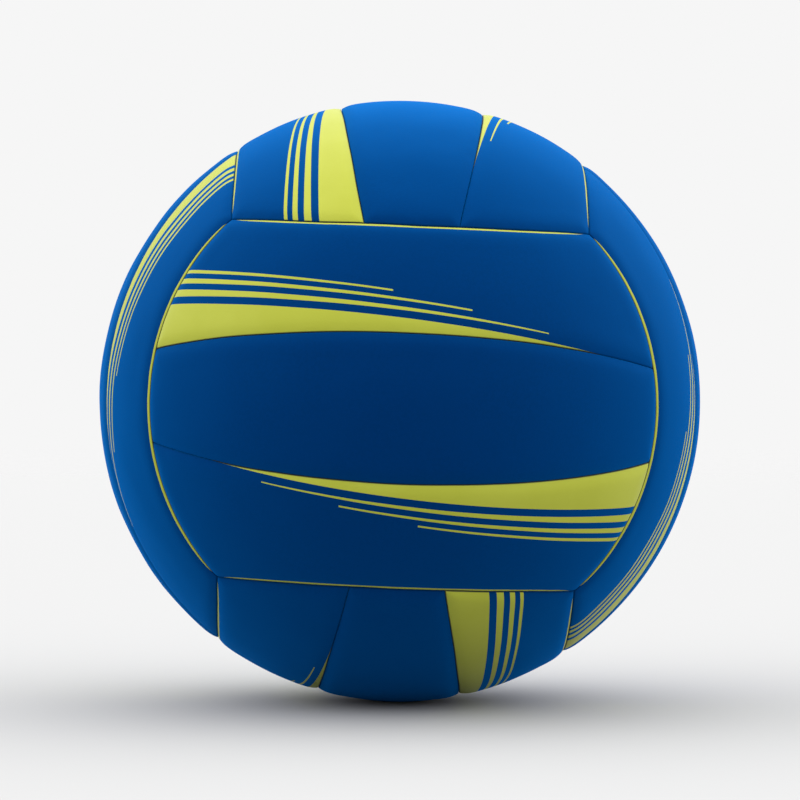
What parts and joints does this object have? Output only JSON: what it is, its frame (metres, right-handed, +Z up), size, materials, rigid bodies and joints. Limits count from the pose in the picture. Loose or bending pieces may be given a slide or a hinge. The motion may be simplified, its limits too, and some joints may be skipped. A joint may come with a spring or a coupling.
{
  "type": "volleyball",
  "caption": "Inflated volleyball: sewn strips of soft cover in groups turned a quarter turn to their neighbours, over foam, cloth lining and a rubber bladder with a needle valve.",
  "frame": {"origin": "centre of the ball", "axes": "the front panel group faces -Y with its strips along X, +Z is up, and the valve is on +Y"},
  "size_m": [0.21, 0.2099, 0.21],
  "materials": {
    "cover": "matte soft-touch synthetic skin with a printed trim",
    "foam": "closed-cell foam",
    "lining": "woven cloth",
    "bladder_rubber": "smooth rubber",
    "valve_rubber": "moulded rubber",
    "patch": "coated cloth",
    "thread": "twisted thread"
  },
  "bodies": {
    "root": {"cover_front_lower": "cover", "cover_front_middle": "cover", "cover_front_upper": "cover", "cover_back_lower": "cover", "cover_back_middle": "cover", "cover_back_upper": "cover", "cover_left_front": "cover", "cover_left_middle": "cover", "cover_left_rear": "cover", "cover_right_rear": "cover", "cover_right_middle": "cover", "cover_right_front": "cover", "cover_top_right": "cover", "cover_top_middle": "cover", "cover_top_left": "cover", "cover_bottom_left": "cover", "cover_bottom_middle": "cover", "cover_bottom_right": "cover", "foam_front_lower": "foam", "foam_front_middle": "foam", "foam_front_upper": "foam", "foam_back_lower": "foam", "foam_back_middle": "foam", "foam_back_upper": "foam", "foam_left_front": "foam", "foam_left_middle": "foam", "foam_left_rear": "foam", "foam_right_rear": "foam", "foam_right_middle": "foam", "foam_right_front": "foam", "foam_top_right": "foam", "foam_top_middle": "foam", "foam_top_left": "foam", "foam_bottom_left": "foam", "foam_bottom_middle": "foam", "foam_bottom_right": "foam", "lining_front_lower": "lining", "lining_front_middle": "lining", "lining_front_upper": "lining", "lining_back_lower": "lining", "lining_back_middle": "lining", "lining_back_upper": "lining", "lining_left_front": "lining", "lining_left_middle": "lining", "lining_left_rear": "lining", "lining_right_rear": "lining", "lining_right_middle": "lining", "lining_right_front": "lining", "lining_top_right": "lining", "lining_top_middle": "lining", "lining_top_left": "lining", "lining_bottom_left": "lining", "lining_bottom_middle": "lining", "lining_bottom_right": "lining", "bladder": "bladder_rubber", "valve_housing": "valve_rubber", "valve_core": "valve_rubber", "valve_patch": "patch", "needle_thread": "thread", "bobbin_thread": "thread"}
  },
  "joints": []
}
